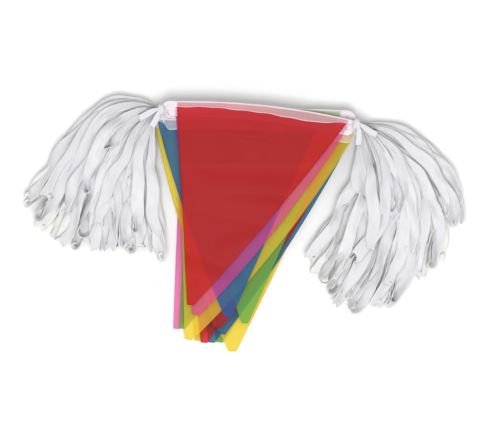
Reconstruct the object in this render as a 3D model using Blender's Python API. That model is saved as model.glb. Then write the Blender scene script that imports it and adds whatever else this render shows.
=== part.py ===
"""Pennant bunting folded up for storage, lying flat.

Fifteen cloth pennants lie one on another, fanned a little. A white tape is folded over the top edge
of each one. Between the pennants the tape is taken up in loops, gathered in a bunch at each upper
corner and tied there with a short piece of the same tape.

Metres, +Z up. The bunting lies on Z = 0 with its pennants' tips towards -Y. The tables are in
millimetres, written from the middle of the pennants, and the finished model is centred on the origin.
"""
import math
from collections import namedtuple

import bmesh
import bpy
from mathutils import Vector

MM = 0.001

# Cloth pennants
CLOTH = 1.0             # thickness of the cloth
GAP = 0.3               # clearance between pieces that lie on each other
GRID = 20.0             # cell of the grid that all pennants share, so that they nest
TIP_CUT = 0.963         # the tip is cut off at this share of a pennant's sides
SIDE_STEPS = 6          # straight steps in a pennant's bowed side
TOP_STEPS = 4           # straight steps in its top edge

# Tape folded over the pennants' top edges
TAPE_WIDTH = 11.0       # width of the folded tape below the pennant's edge
TAPE_FOLD = 1.5         # how far the fold stands beyond the pennant's edge
TAPE_LEAF = 0.5         # thickness of each leaf of the folded tape
SLOT = 1.0              # space between the leaves
TONGUE = 0.4            # thickness of the pennant's margin, pressed between the leaves
MARGIN_INSET = 0.4      # the margin stops this far inside the pennant's sides
BINDING = 2 * TAPE_LEAF + SLOT

# Stacking
CLOTH_PITCH = CLOTH + GAP
TAPE_PITCH = BINDING + GAP
TAPE_ZONE = 70.0        # above this the pennants lie a binding's thickness apart
EASE_LENGTH = 40.0      # below it they ease down to a cloth's thickness apart
COVER = 28.5            # a pennant still lifts those above it this far outside its edge
COVER_EASE = 30.0       # and stops lifting them over this further length
GRID_LEFT = -112.0
GRID_RIGHT = 140.0
GRID_TOP = 154.0
GRID_BOTTOM = -154.0

# left, right and tip are the corners, the tip before it is cut off; the bows are how far the
# edges swell outwards
Pennant = namedtuple("Pennant", "colour left right tip top_bow right_bow left_bow tape_left")
PENNANTS = (
    Pennant("red", (-76, 138.5), (120, 118), (-64.5, -101.5), 6, 3.7, 0, 5),
    Pennant("pink", (-78, 134), (120, 112), (-58.5, -113), 4, 8.5, 0, 11),
    Pennant("blue", (-99, 119), (85, 114), (-18, -116), 1, 0.5, 5, 11),
    Pennant("yellow", (-73, 121.5), (128, 103), (-68, -142), 1, 11, 0, 11),
    Pennant("green", (-82, 125), (112, 129), (1, -123.5), 3.5, 0.5, 1, 11),
    Pennant("red", (-80, 124), (121, 108), (-33, -128), 1, 10, 0, 11),
    Pennant("pink", (-82, 122), (121, 110), (-24, -119), 1, 8, 2, 11),
    Pennant("blue", (-79, 124), (126, 103), (-28, -136), 1, 7, 0, 11),
    Pennant("yellow", (-101.5, 112), (112, 106), (-13, -157), 1, 1, 9, 11),
    Pennant("green", (-61, 122), (121, 109), (-75, -130), 1, 2, 0, 11),
    Pennant("red", (-77, 123), (121, 111), (-48.5, -147), 1, 2, 0, 11),
    Pennant("pink", (-72, 122), (120, 112), (-82, -130.5), 1, 2, 0, 11),
    Pennant("blue", (-75, 124), (121, 110), (-39.5, -147), 1, 2, 0, 11),
    Pennant("yellow", (-78, 122), (119, 111), (-56, -145), 1, 2, 0, 11),
    Pennant("green", (-76, 122), (120, 108), (-30, -147), 1, 2, 0, 11),
)
COUNT = len(PENNANTS)

# Soft ripples in the pile: a ridge from start to end, its half width and its height in the top one
Ripple = namedtuple("Ripple", "start end half_width height")
RIPPLES = (
    Ripple((-62, 38), (30, 20), 24, 3.0),
    Ripple((-20, -30), (60, -2), 20, 2.0),
    Ripple((-66, -52), (-10, -72), 20, 2.5),
)

# Bunches of tape loops. Angles are seen from above, in degrees from +X. root and end are the
# directions of the first and last loop at the tie and at full reach, and reach is in equal steps
# across the fan. neck is the middle of the gathered root, side is +1 where the bunch lies on +X.
Bunch = namedtuple("Bunch", "name side neck fan root end bend reach")
BUNCHES = (
    Bunch("left", -1, (-94.0, 130.5), (-98.0, 130.0), (128, 250), (213, 272), 2.0,
          (184, 194, 185, 172, 165)),
    Bunch("right", 1, (129.0, 114.0), (133.0, 114.0), (12, -84), (-58, -116), 1.1,
          (156, 188, 222, 208, 178)),
)
SHELLS = 3              # layers of loops in a bunch
LOOPS = 8               # loops in each layer
RIBBON = 15.0           # full width of the tape
RIBBON_THICKNESS = 1.0
RIBBON_FILL = 0.82      # share of its sector that a gathered ribbon takes near the root
ROOT_RADIUS = 4.0       # where the ribbons start, inside the gathered root
SHELL_RISE = 9.0        # height from one layer of loops to the next
LOOP_RISE = 5.0         # height from a loop's lower run to its upper run
ROOT_LEVEL = 6.0        # the same three heights at the gathered root
ROOT_SHELL_RISE = 7.5
ROOT_LOOP_RISE = 3.0
SPREAD_FROM = 10.0      # distance from the tie where the layers start to spread
SPREAD_OVER = 48.0
UPPER_SHIFT = 0.28      # sideways shift of the upper run, in shares of the space between loops
WAVE = 0.8              # rise and fall of the ribbons
WAVE_LENGTH = 58.0
RUN_STEPS = (0.0, 0.1, 0.25, 0.46, 0.72, 1.0)
TURN_STEPS = (-45.0, 0.0, 45.0)
SHORTER = (0.0, 0.13, 0.04, 0.2, 0.07, 0.16, 0.02, 0.1)     # each loop's shortfall from full reach
SWAY = (0.1, -0.1, 0.05, 0.12, -0.07)   # its drift sideways far out, in shares of the space

# Loops of the uppermost layer stray across each other. out, tip and back are their shares of the
# fan where they leave the tie, turn and come back; late is how late they stray.
TopLoop = namedtuple("TopLoop", "out tip back reach late")
TOP_LOOPS = {
    "left": (
        TopLoop(0.03, 0.02, 0.07, 0.97, 1),
        TopLoop(0.28, 0.34, 0.40, 0.99, 1),
        TopLoop(0.95, 0.86, 0.80, 0.93, 1),
        TopLoop(0.10, 0.15, 0.24, 0.98, 1),
        TopLoop(0.55, 0.64, 0.70, 0.94, 1),
        TopLoop(0.42, 0.46, 0.52, 0.91, 1),
        TopLoop(0.96, 0.99, 0.99, 0.99, 1),
        TopLoop(0.80, 0.56, 0.66, 0.80, 2),
    ),
    "right": (
        TopLoop(0.04, 0.04, 0.10, 0.92, 1),
        TopLoop(0.76, 0.72, 0.70, 0.99, 1),
        TopLoop(1.00, 1.00, 0.96, 0.92, 1),
        TopLoop(0.20, 0.25, 0.32, 0.97, 1),
        TopLoop(0.52, 0.61, 0.66, 0.99, 1),
        TopLoop(0.80, 0.87, 0.94, 0.96, 1),
        TopLoop(0.46, 0.43, 0.52, 0.73, 1),
        TopLoop(0.98, 0.70, 0.88, 0.68, 2),
    ),
}
TOP_STEP = 0.7          # each of them lies this much above the one before

# Gathered root: distance from its middle towards the bunch, half width, lowest and highest point
RootSection = namedtuple("RootSection", "along half_width bottom top")
ROOT_SECTIONS = (
    RootSection(-7.0, 8.0, 1.0, 33.5),
    RootSection(-5.6, 8.0, 0.6, 34.0),
    RootSection(-3.6, 5.6, 5.0, 28.5),
    RootSection(3.6, 5.6, 5.0, 28.5),
    RootSection(6.0, 8.2, 2.6, 31.5),
    RootSection(10.5, 8.0, 3.0, 30.5),
    RootSection(13.5, 4.5, 7.0, 26.0),
)
ROOT_SIDES = 12
ROOT_SQUARENESS = 0.55  # exponent of the rounded section: 1 is an ellipse, 0 a rectangle

# Ties
TIE_HALF_WIDTH = 2.2    # along the root
TIE_THICKNESS = 1.3
KNOT_SIZE = (4.0, 5.5, 3.2)
TieEnd = namedtuple("TieEnd", "heading length width")
TIE_ENDS = {
    "left": (TieEnd(238, 22, 7.0), TieEnd(199, 27, 7.0)),
    "right": (TieEnd(277, 24, 7.0), TieEnd(335, 26, 7.0)),
}

COLOURS = {
    "red": (0.58, 0.035, 0.035),
    "pink": (0.84, 0.27, 0.37),
    "blue": (0.035, 0.16, 0.38),
    "yellow": (0.80, 0.50, 0.05),
    "green": (0.09, 0.42, 0.12),
}
TAPE_COLOUR = (0.86, 0.86, 0.87)


# ---------------------------------------------------------------- materials and objects

def make_material(name, colour, roughness):
    """Principled material of one colour."""
    material = bpy.data.materials.new(name)
    material.use_nodes = True
    shader = material.node_tree.nodes["Principled BSDF"]
    shader.inputs["Base Color"].default_value = (*colour, 1.0)
    shader.inputs["Roughness"].default_value = roughness
    shader.inputs["Metallic"].default_value = 0.0
    return material


def make_object(name, bm, material=None):
    """Object from a bmesh in millimetres, its faces turned outwards."""
    bmesh.ops.recalc_face_normals(bm, faces=bm.faces)
    bmesh.ops.scale(bm, vec=(MM, MM, MM), verts=bm.verts)
    mesh = bpy.data.meshes.new(name)
    bm.to_mesh(mesh)
    bm.free()
    obj = bpy.data.objects.new(name, mesh)
    bpy.context.scene.collection.objects.link(obj)
    if material is not None:
        mesh.materials.append(material)
    return obj


def combine(target, tool, operation, crossing=False):
    """Join the tool to the target or cut it away, and drop the tool.

    crossing says that parts of the tool cross each other.
    """
    modifier = target.modifiers.new("combine", "BOOLEAN")
    modifier.operation = operation
    modifier.solver = "EXACT"
    modifier.use_self = crossing
    modifier.object = tool
    graph = bpy.context.evaluated_depsgraph_get()
    result = bpy.data.meshes.new_from_object(target.evaluated_get(graph))
    result.name = target.name
    target.modifiers.clear()
    target.data = result
    bpy.data.objects.remove(tool)


# ---------------------------------------------------------------- outlines seen from above

def smooth(value):
    """Smooth step from 0 to 1."""
    value = min(max(value, 0.0), 1.0)
    return value * value * (3.0 - 2.0 * value)


def outward(start, end):
    """Unit vector to the outside of an edge walked with the piece on its left."""
    along = (end - start).normalized()
    return Vector((along.y, -along.x))


def bowed_point(start, end, bow, t):
    """Point at a share of a shallow arc from start to end that swells outwards."""
    return start.lerp(end, t) + outward(start, end) * (4.0 * bow * t * (1.0 - t))


def bowed_edge(start, end, bow, steps):
    """Points from start to end on such an arc."""
    return [bowed_point(start, end, bow, step / steps) for step in range(steps + 1)]


def pennant_edges(row):
    """Left, tip, right and top edge of a pennant, walked with the cloth on the left hand."""
    left = Vector(row.left)
    right = Vector(row.right)
    tip = Vector(row.tip)
    left_edge = bowed_edge(left, tip, row.left_bow, SIDE_STEPS)
    tip_edge = [bowed_point(left, tip, row.left_bow, TIP_CUT),
                bowed_point(tip, right, row.right_bow, 1.0 - TIP_CUT)]
    right_edge = bowed_edge(tip, right, row.right_bow, SIDE_STEPS)
    top_edge = bowed_edge(right, left, row.top_bow, TOP_STEPS)
    return left_edge, tip_edge, right_edge, top_edge


def edge_pairs(points):
    """Neighbouring points of an open edge."""
    return list(zip(points[:-1], points[1:]))


def shifted(points, distance):
    """An edge moved outwards by a distance at right angles to its chord."""
    side = outward(points[0], points[-1])
    return [point + side * distance for point in points]


def offset_edge(points, distances):
    """An edge moved sideways by a distance at each point, its ends kept at their own X."""
    side = outward(points[0], points[-1])
    moved = [point + side * distance for point, distance in zip(points, distances)]
    moved[0].x = points[0].x
    moved[-1].x = points[-1].x
    return moved


def tape_widths(index, points):
    """Width of the folded tape at points along a pennant's top edge."""
    row = PENNANTS[index]
    start = row.right[0]
    length = start - row.left[0]
    change = row.tape_left - TAPE_WIDTH
    return [TAPE_WIDTH + change * smooth((start - point.x) / length) for point in points]


def inset(pairs, distance):
    """The edges of an outline, each moved inwards."""
    return [tuple(shifted(pair, -distance)) for pair in pairs]


def distance_outside(pairs, point):
    """How far a point lies outside a convex outline, negative inside."""
    return max((point - start).dot(outward(start, end)) for start, end in pairs)


# ---------------------------------------------------------------- heights in the pile

EDGES = [pennant_edges(row) for row in PENNANTS]
OUTLINES = [sum((edge_pairs(edge) for edge in edges), []) for edges in EDGES]


def pitch(y):
    """Height from one pennant to the next."""
    ease = smooth((TAPE_ZONE - y) / EASE_LENGTH)
    return TAPE_PITCH + (CLOTH_PITCH - TAPE_PITCH) * ease


def cover(index, point):
    """Share of its thickness with which a pennant lifts those above it."""
    if point.y >= TAPE_ZONE - 0.01:
        return 1.0
    outside = distance_outside(OUTLINES[index], point)
    return 1.0 - smooth((outside - COVER) / COVER_EASE)


def ripple_height(point):
    """Height of the soft ripples in the uppermost pennant."""
    height = 0.0
    for ripple in RIPPLES:
        start = Vector(ripple.start)
        along = Vector(ripple.end) - start
        t = min(max((point - start).dot(along) / along.length_squared, 0.0), 1.0)
        away = (point - start - along * t).length
        height += ripple.height * (1.0 - smooth(away / ripple.half_width))
    return height


def level(index, point):
    """Underside of a pennant's place in the pile."""
    beneath = sum(cover(lower, point) for lower in range(index + 1, COUNT))
    share = (COUNT - 1 - index) / (COUNT - 1)
    return pitch(point.y) * beneath + share * ripple_height(point)


def cloth_level(index, point):
    """Underside of the cloth, which lies midway in the height that its binding takes."""
    return level(index, point) + (pitch(point.y) - CLOTH_PITCH) / 2.0


def flat_level(index):
    """Underside of a binding: the pile is level along the tape."""
    return TAPE_PITCH * (COUNT - 1 - index)


# ---------------------------------------------------------------- pennants

def grid_lines():
    """Grid lines across and up the pile, with only one cell above the level zone's edge."""
    columns = []
    x = GRID_LEFT
    while x < GRID_RIGHT + 0.5 * GRID:
        columns.append(x)
        x += GRID
    rows = [GRID_TOP]
    y = TAPE_ZONE
    while y > GRID_BOTTOM - GRID:
        rows.append(y)
        y -= GRID
    return columns, rows


def clip(bm, pairs):
    """Cut away what lies outside a convex outline."""
    for start, end in pairs:
        side = outward(start, end)
        geometry = bm.verts[:] + bm.edges[:] + bm.faces[:]
        bmesh.ops.bisect_plane(bm, geom=geometry, dist=0.02, plane_co=(start.x, start.y, 0.0),
                               plane_no=(side.x, side.y, 0.0), clear_outer=True)


def thicken(bm, thickness):
    """Give a sheet its thickness upwards and merge its level faces."""
    extruded = bmesh.ops.extrude_face_region(bm, geom=bm.faces[:])
    upper = [item for item in extruded["geom"] if isinstance(item, bmesh.types.BMVert)]
    bmesh.ops.translate(bm, vec=(0.0, 0.0, thickness), verts=upper)
    bmesh.ops.recalc_face_normals(bm, faces=bm.faces)
    bmesh.ops.dissolve_limit(bm, angle_limit=0.0008, verts=bm.verts[:], edges=bm.edges[:])
    bmesh.ops.triangulate(bm, faces=bm.faces[:])


def cloth_sheet(index):
    """A pennant's cloth below its binding."""
    left_edge, tip_edge, right_edge, top_edge = EDGES[index]
    columns, rows = grid_lines()
    bm = bmesh.new()
    lattice = []
    for y in rows:
        line = []
        for x in columns:
            line.append(bm.verts.new((x, y, cloth_level(index, Vector((x, y))))))
        lattice.append(line)
    for upper, lower in zip(lattice[:-1], lattice[1:]):
        for column in range(len(columns) - 1):
            bm.faces.new((upper[column], lower[column], lower[column + 1]))
            bm.faces.new((upper[column], lower[column + 1], upper[column + 1]))
    margin = offset_edge(top_edge, [-(width + GAP) for width in tape_widths(index, top_edge)])
    clip(bm, edge_pairs(left_edge) + edge_pairs(tip_edge) + edge_pairs(right_edge) + edge_pairs(margin))
    thicken(bm, CLOTH)
    return bm


def cloth_margin(index):
    """The pennant's thin top margin, which the tape holds."""
    left_edge, _, right_edge, top_edge = EDGES[index]
    bottom = flat_level(index) + TAPE_LEAF + (SLOT - TONGUE) / 2.0
    chord = [top_edge[-1], top_edge[0]]
    lower = shifted(chord, TAPE_WIDTH + GAP + 1.0)
    bm = bmesh.new()
    corners = ((GRID_LEFT, TAPE_ZONE), (GRID_RIGHT, TAPE_ZONE),
               (GRID_RIGHT, GRID_TOP), (GRID_LEFT, GRID_TOP))
    bm.faces.new([bm.verts.new((x, y, bottom)) for x, y in corners])
    sides = inset(edge_pairs(left_edge) + edge_pairs(right_edge), MARGIN_INSET)
    clip(bm, sides + edge_pairs(top_edge) + [tuple(lower)])
    thicken(bm, TONGUE)
    return bm


def make_pennant(index, material):
    """Cloth and margin as one piece."""
    name = f"pennant_{index + 1:02d}"
    pennant = make_object(name, cloth_sheet(index), material)
    margin = make_object(name + "_margin", cloth_margin(index))
    combine(pennant, margin, "UNION")
    return pennant


# ---------------------------------------------------------------- bindings

def prism(points, bottom, top):
    """Upright solid on an outline."""
    bm = bmesh.new()
    bm.faces.new([bm.verts.new((point.x, point.y, bottom)) for point in points])
    extruded = bmesh.ops.extrude_face_region(bm, geom=bm.faces[:])
    upper = [item for item in extruded["geom"] if isinstance(item, bmesh.types.BMVert)]
    bmesh.ops.translate(bm, vec=(0.0, 0.0, top - bottom), verts=upper)
    return bm


def root_face(bunch):
    """X of the gathered root's face towards the pennants, with its clearance."""
    along = ROOT_SECTIONS[0].along
    return bunch.neck[0] + bunch.side * along - bunch.side * GAP


def extended(top_edge):
    """The top edge, walked right to left, run on straight to the gathered roots."""
    left_bunch, right_bunch = BUNCHES
    points = list(top_edge)
    slope = (points[0] - points[-1]).normalized()
    right_limit = root_face(right_bunch)
    left_limit = root_face(left_bunch)
    if points[0].x < right_limit:
        points.insert(0, points[0] + slope * ((right_limit - points[0].x) / slope.x))
    if points[-1].x > left_limit:
        points.append(points[-1] - slope * ((points[-1].x - left_limit) / slope.x))
    return points


def make_binding(index, material):
    """The tape folded over one pennant's top edge."""
    name = f"binding_{index + 1:02d}"
    top_edge = EDGES[index][3]
    bottom = flat_level(index)
    whole = extended(top_edge)
    outer = offset_edge(whole, [TAPE_FOLD] * len(whole))
    inner = offset_edge(whole, [-width for width in tape_widths(index, whole)])
    binding = make_object(name, prism(outer + inner[::-1], bottom, bottom + BINDING), material)
    along = (top_edge[-1] - top_edge[0]).normalized()
    held = [top_edge[0] - along] + top_edge[1:-1] + [top_edge[-1] + along]
    slot_top = shifted(held, TAPE_FOLD / 3.0)
    slot_low = shifted(held, -(TAPE_WIDTH + 4.0))
    low = bottom + TAPE_LEAF
    slot = make_object(name + "_slot", prism(slot_top + slot_low[::-1], low, low + SLOT))
    combine(binding, slot, "DIFFERENCE")
    return binding


# ---------------------------------------------------------------- bunches

def reach_at(bunch, u):
    """Full reach of a bunch at a share of its fan."""
    place = min(max(u, 0.0), 1.0) * (len(bunch.reach) - 1)
    low = min(int(place), len(bunch.reach) - 2)
    return bunch.reach[low] + (bunch.reach[low + 1] - bunch.reach[low]) * (place - low)


def heading(bunch, u, radius):
    """Direction in radians, seen from the fan's middle, of a loop at some distance."""
    share = min(radius / max(bunch.reach), 1.0)
    turned = 1.0 - (1.0 - share) ** bunch.bend
    root = bunch.root[0] + (bunch.root[1] - bunch.root[0]) * u
    end = bunch.end[0] + (bunch.end[1] - bunch.end[0]) * u
    return math.radians(root + (end - root) * turned)


def ribbon_width(bunch, radius):
    """Gathered near the root, then its full width."""
    space = abs(heading(bunch, 1.0, radius) - heading(bunch, 0.0, radius)) * radius / LOOPS
    return min(RIBBON, RIBBON_FILL * space)


def run_heights(shell, radius, phase):
    """Middle heights of a loop's lower and upper run."""
    spread = smooth((radius - SPREAD_FROM) / SPREAD_OVER)
    wave = WAVE * spread * math.sin(2.0 * math.pi * radius / WAVE_LENGTH + phase)
    root = ROOT_LEVEL + shell * ROOT_SHELL_RISE
    open_level = RIBBON_THICKNESS / 2.0 + shell * SHELL_RISE
    lower = root + (open_level - root) * spread
    if shell > 0:
        lower += wave
    upper = lower + ROOT_LOOP_RISE + (LOOP_RISE - ROOT_LOOP_RISE) * spread
    return lower, upper


def even_loop(shell, number):
    """A loop of the lower layers: the same row as in the table, evenly spread."""
    stagger = (shell - 1) / SHELLS
    u = (number + 0.5 + 0.6 * stagger) / LOOPS
    shortfall = SHORTER[(number * 3 + shell * 5) % len(SHORTER)]
    sway = SWAY[(number + 2 * shell) % len(SWAY)] / LOOPS
    return TopLoop(u, u + sway, u + UPPER_SHIFT / LOOPS, 1.0 - shortfall, 1)


def strayed(start, tip, radius, last, late):
    """Share of the fan at some distance along a run."""
    return start + (tip - start) * smooth(radius / last) ** late


def loop_stations(bunch, shell, number):
    """Places along one loop: distance, share of the fan and height."""
    top = shell == SHELLS - 1
    row = TOP_LOOPS[bunch.name][number] if top else even_loop(shell, number)
    lift = TOP_STEP * number if top else 0.0
    phase = 1.3 * number + 2.1 * shell
    upper_tip = row.tip + UPPER_SHIFT / LOOPS
    turn = LOOP_RISE / 2.0
    last = reach_at(bunch, row.tip) * row.reach - turn
    radii = [ROOT_RADIUS + (last - ROOT_RADIUS) * share for share in RUN_STEPS]
    lifts = [lift * smooth((radius - SPREAD_FROM) / SPREAD_OVER) for radius in radii]
    stations = []
    for radius, raised in zip(radii, lifts):
        place = strayed(row.out, row.tip, radius, last, row.late)
        stations.append((radius, place, run_heights(shell, radius, phase)[0] + raised))
    lower, upper = run_heights(shell, last, phase)
    middle = (lower + upper) / 2.0 + lift
    for degrees in TURN_STEPS:
        angle = math.radians(degrees)
        share = (math.sin(angle) + 1.0) / 2.0
        place = row.tip + (upper_tip - row.tip) * share
        stations.append((last + turn * math.cos(angle), place, middle + turn * math.sin(angle)))
    for radius, raised in zip(radii[::-1], lifts[::-1]):
        place = strayed(row.back, upper_tip, radius, last, row.late)
        stations.append((radius, place, run_heights(shell, radius, phase)[1] + raised))
    return stations


def fan_point(bunch, u, radius):
    """Point of the fan seen from above."""
    angle = heading(bunch, u, radius)
    return Vector(bunch.fan) + Vector((math.cos(angle), math.sin(angle))) * radius


def ribbon_side(bunch, u, radius):
    """Level direction across a ribbon, square to its course seen from above."""
    course = (fan_point(bunch, u, radius + 1.0) - fan_point(bunch, u, radius)).normalized()
    return Vector((-course.y, course.x, 0.0))


def add_strip(bm, middle, sides, widths, thickness):
    """Closed flat strip along its middle points; sides are the level directions across it."""
    rings = []
    for place, point in enumerate(middle):
        before = middle[max(place - 1, 0)]
        after = middle[min(place + 1, len(middle) - 1)]
        normal = (after - before).cross(sides[place]).normalized()
        half = sides[place] * (widths[place] / 2.0)
        up = normal * (thickness / 2.0)
        corners = (half + up, half - up, -half - up, -half + up)
        rings.append([bm.verts.new(point + corner) for corner in corners])
    close_rings(bm, rings)


def close_rings(bm, rings):
    """Walls between neighbouring rings and a cap at each end."""
    for ring, following in zip(rings[:-1], rings[1:]):
        for corner in range(len(ring)):
            after = (corner + 1) % len(ring)
            bm.faces.new((ring[corner], ring[after], following[after], following[corner]))
    bm.faces.new(rings[0])
    bm.faces.new(rings[-1])


def add_loop(bm, bunch, shell, number):
    """A flat ribbon that runs out, folds back on itself and returns."""
    middle = []
    sides = []
    widths = []
    for radius, u, height in loop_stations(bunch, shell, number):
        middle.append(fan_point(bunch, u, radius).to_3d() + Vector((0.0, 0.0, height)))
        sides.append(ribbon_side(bunch, u, radius))
        widths.append(ribbon_width(bunch, radius))
    add_strip(bm, middle, sides, widths, RIBBON_THICKNESS)


def rounded_section(half_width, bottom, top, sides):
    """Points of a rounded upright section: sideways and height."""
    points = []
    for number in range(sides):
        angle = 2.0 * math.pi * (number + 0.5) / sides
        across = math.copysign(abs(math.cos(angle)) ** ROOT_SQUARENESS, math.cos(angle))
        rise = math.copysign(abs(math.sin(angle)) ** ROOT_SQUARENESS, math.sin(angle))
        points.append((half_width * across, (bottom + top) / 2.0 + (top - bottom) / 2.0 * rise))
    return points


def gathered_root(bunch):
    """The tape drawn together: a waist under the tie, swelling on both sides of it."""
    bm = bmesh.new()
    rings = []
    for section in ROOT_SECTIONS:
        x = bunch.neck[0] + bunch.side * section.along
        points = rounded_section(section.half_width, section.bottom, section.top, ROOT_SIDES)
        rings.append([bm.verts.new((x, bunch.neck[1] + across, height)) for across, height in points])
    close_rings(bm, rings)
    return bm


def make_bunch(bunch, material):
    """All loops of a bunch, fused at their gathered root."""
    bm = bmesh.new()
    for shell in range(SHELLS):
        for number in range(LOOPS):
            add_loop(bm, bunch, shell, number)
    loops = make_object("bunch_" + bunch.name + "_loops", bm)
    root = make_object("bunch_" + bunch.name, gathered_root(bunch), material)
    combine(root, loops, "UNION", crossing=True)
    return root


# ---------------------------------------------------------------- ties

def waist():
    """The section under the tie."""
    return ROOT_SECTIONS[2]


def tie_band(bunch):
    """The tape round the waist, as a closed band."""
    bm = bmesh.new()
    section = waist()
    rings = []
    for grow in (GAP + 0.15, GAP + 0.15 + TIE_THICKNESS):
        points = rounded_section(section.half_width + grow, section.bottom - grow,
                                 section.top + grow, ROOT_SIDES)
        for along in (-TIE_HALF_WIDTH, TIE_HALF_WIDTH):
            x = bunch.neck[0] + along
            rings.append([bm.verts.new((x, bunch.neck[1] + across, height)) for across, height in points])
    inner_left, inner_right, outer_left, outer_right = rings
    for one, other in ((inner_left, inner_right), (inner_right, outer_right),
                       (outer_right, outer_left), (outer_left, inner_left)):
        for number in range(ROOT_SIDES):
            after = (number + 1) % ROOT_SIDES
            bm.faces.new((one[number], one[after], other[after], other[number]))
    return bm


def tie_end(bunch, end, height):
    """A free end of the tie: a flat strip that leaves the knot and dips a little."""
    angle = math.radians(end.heading)
    ahead = Vector((math.cos(angle), math.sin(angle), 0.0))
    side = Vector((-math.sin(angle), math.cos(angle), 0.0))
    start = Vector((*bunch.neck, height))
    middle = []
    widths = []
    for share, rise, width in ((0.0, 0.0, 0.5), (0.3, 1.2, 0.85), (0.65, 0.6, 1.0), (1.0, -0.6, 1.0)):
        middle.append(start + ahead * (end.length * share) + Vector((0.0, 0.0, rise)))
        widths.append(end.width * width)
    bm = bmesh.new()
    add_strip(bm, middle, [side] * len(middle), widths, RIBBON_THICKNESS)
    return bm


def make_tie(bunch, material):
    """Band, knot and free ends as one piece."""
    tie = make_object("tie_" + bunch.name, tie_band(bunch), material)
    height = waist().top + GAP + TIE_THICKNESS + KNOT_SIZE[2] * 0.7
    knot = bmesh.new()
    bmesh.ops.create_icosphere(knot, subdivisions=2, radius=1.0)
    bmesh.ops.scale(knot, vec=KNOT_SIZE, verts=knot.verts)
    bmesh.ops.translate(knot, vec=(*bunch.neck, height), verts=knot.verts)
    combine(tie, make_object("knot", knot), "UNION")
    for end in TIE_ENDS[bunch.name]:
        combine(tie, make_object("tie_end", tie_end(bunch, end, height)), "UNION")
    return tie


# ---------------------------------------------------------------- the whole bunting

def centre_on_origin(objects):
    """Move the model so that the middle of its box is over the origin."""
    xs = [vertex.co.x for obj in objects for vertex in obj.data.vertices]
    ys = [vertex.co.y for obj in objects for vertex in obj.data.vertices]
    offset = Vector(((min(xs) + max(xs)) / -2.0, (min(ys) + max(ys)) / -2.0, 0.0))
    for obj in objects:
        for vertex in obj.data.vertices:
            vertex.co += offset


def main():
    for obj in list(bpy.data.objects):
        bpy.data.objects.remove(obj)
    cloth = {name: make_material("nylon_" + name, colour, 0.55) for name, colour in COLOURS.items()}
    tape = make_material("tape", TAPE_COLOUR, 0.7)
    objects = []
    for index, row in enumerate(PENNANTS):
        objects.append(make_pennant(index, cloth[row.colour]))
        objects.append(make_binding(index, tape))
    for bunch in BUNCHES:
        objects.append(make_bunch(bunch, tape))
        objects.append(make_tie(bunch, tape))
    centre_on_origin(objects)


main()
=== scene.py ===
"""Looks for a folded pennant bunting: thin dyed nylon pennants, white tape and its gathered loops.

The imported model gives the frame. Every piece follows the same outlines and heights as its solid,
with finer cloth, tape folded round each top edge, stitching, ribbon loops and knots. Tables are in
millimetres, written from the middle of the pennants, and are moved to the frame's own middle.
"""
import math
from collections import namedtuple

import bpy
import numpy as np
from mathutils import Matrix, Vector


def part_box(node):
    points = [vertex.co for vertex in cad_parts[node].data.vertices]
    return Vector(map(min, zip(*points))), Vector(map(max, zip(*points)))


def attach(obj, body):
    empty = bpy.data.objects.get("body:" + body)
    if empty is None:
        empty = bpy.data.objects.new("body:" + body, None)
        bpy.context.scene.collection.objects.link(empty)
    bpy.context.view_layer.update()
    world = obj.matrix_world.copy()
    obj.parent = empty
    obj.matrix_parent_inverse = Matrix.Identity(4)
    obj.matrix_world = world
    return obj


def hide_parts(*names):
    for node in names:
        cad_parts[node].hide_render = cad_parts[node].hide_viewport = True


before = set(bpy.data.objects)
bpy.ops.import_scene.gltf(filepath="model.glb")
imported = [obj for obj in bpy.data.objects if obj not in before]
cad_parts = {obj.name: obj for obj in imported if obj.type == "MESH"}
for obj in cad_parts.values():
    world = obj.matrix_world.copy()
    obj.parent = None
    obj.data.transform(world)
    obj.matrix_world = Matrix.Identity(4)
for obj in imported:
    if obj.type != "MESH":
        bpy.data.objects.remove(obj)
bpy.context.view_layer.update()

MM = 0.001

# -------- the same sizes as the solids

CLOTH = 1.0
GAP = 0.3
BINDING = 2.0
CLOTH_PITCH = CLOTH + GAP
TAPE_PITCH = BINDING + GAP
TAPE_ZONE = 70.0
TAPE_EASE = 20.0
EASE_LENGTH = 40.0
COVER = 28.5
COVER_EASE = 30.0
TAPE_WIDTH = 11.0
TAPE_FOLD = 1.5
TIP_CUT = 0.963
SIDE_STEPS = 6
TOP_STEPS = 4

Pennant = namedtuple("Pennant", "colour left right tip top_bow right_bow left_bow tape_left")
PENNANTS = tuple(Pennant(*row) for row in (
    ("red", (-76, 138.5), (120, 118), (-64.5, -101.5), 6, 3.7, 0, 5),
    ("pink", (-78, 134), (120, 112), (-58.5, -113), 4, 8.5, 0, 11),
    ("blue", (-99, 119), (85, 114), (-18, -116), 1, 0.5, 5, 11),
    ("yellow", (-73, 121.5), (128, 103), (-68, -142), 1, 11, 0, 11),
    ("green", (-82, 125), (112, 129), (1, -123.5), 3.5, 0.5, 1, 11),
    ("red", (-80, 124), (121, 108), (-33, -128), 1, 10, 0, 11),
    ("pink", (-82, 122), (121, 110), (-24, -119), 1, 8, 2, 11),
    ("blue", (-79, 124), (126, 103), (-28, -136), 1, 7, 0, 11),
    ("yellow", (-101.5, 112), (112, 106), (-13, -157), 1, 1, 9, 11),
    ("green", (-61, 122), (121, 109), (-75, -130), 1, 2, 0, 11),
    ("red", (-77, 123), (121, 111), (-48.5, -147), 1, 2, 0, 11),
    ("pink", (-72, 122), (120, 112), (-82, -130.5), 1, 2, 0, 11),
    ("blue", (-75, 124), (121, 110), (-39.5, -147), 1, 2, 0, 11),
    ("yellow", (-78, 122), (119, 111), (-56, -145), 1, 2, 0, 11),
    ("green", (-76, 122), (120, 108), (-30, -147), 1, 2, 0, 11),
))
COUNT = len(PENNANTS)

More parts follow.
